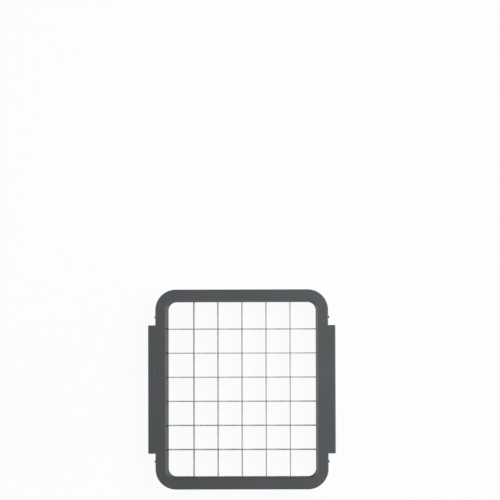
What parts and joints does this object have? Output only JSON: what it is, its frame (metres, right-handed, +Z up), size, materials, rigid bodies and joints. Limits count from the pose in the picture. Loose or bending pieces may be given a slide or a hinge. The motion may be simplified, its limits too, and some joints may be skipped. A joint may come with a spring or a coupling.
{
  "type": "food chopper cutting grid",
  "caption": "Drop-in blade insert for a food chopper: a rounded moulded frame with side ears holds crossed steel blades that cut food into square sticks.",
  "frame": {"origin": "middle of the underside, on the plane it lies on", "axes": "+X from the left ear to the right ear, +Y the long way from front to back, +Z up to the cutting edges"},
  "size_m": [0.0776, 0.0826, 0.012],
  "materials": {
    "frame_plastic": "dark grey moulded plastic with a fine matt texture",
    "blade_steel": "rolled stainless strip with a ground cutting edge",
    "rod_steel": "drawn stainless wire"
  },
  "bodies": {
    "lower_frame": {"lower_frame": "frame_plastic"},
    "cross_blades": {"cross_blade_1": "blade_steel", "cross_blade_2": "blade_steel", "cross_blade_3": "blade_steel", "cross_blade_4": "blade_steel", "cross_blade_5": "blade_steel", "cross_blade_6": "blade_steel", "left_rod": "rod_steel", "right_rod": "rod_steel"},
    "long_blades": {"long_blade_1": "blade_steel", "long_blade_2": "blade_steel", "long_blade_3": "blade_steel", "long_blade_4": "blade_steel", "long_blade_5": "blade_steel", "front_rod": "rod_steel", "back_rod": "rod_steel"},
    "upper_frame": {"upper_frame": "frame_plastic"}
  },
  "joints": [
    {"name": "cross_blades_lift", "type": "slide", "parent": "lower_frame", "child": "cross_blades", "axis": [0, 0, 1], "range_m": [0, 0.012]},
    {"name": "long_blades_lift", "type": "slide", "parent": "cross_blades", "child": "long_blades", "axis": [0, 0, 1], "range_m": [0, 0.012]},
    {"name": "upper_frame_lift", "type": "slide", "parent": "long_blades", "child": "upper_frame", "axis": [0, 0, 1], "range_m": [0, 0.02]}
  ]
}
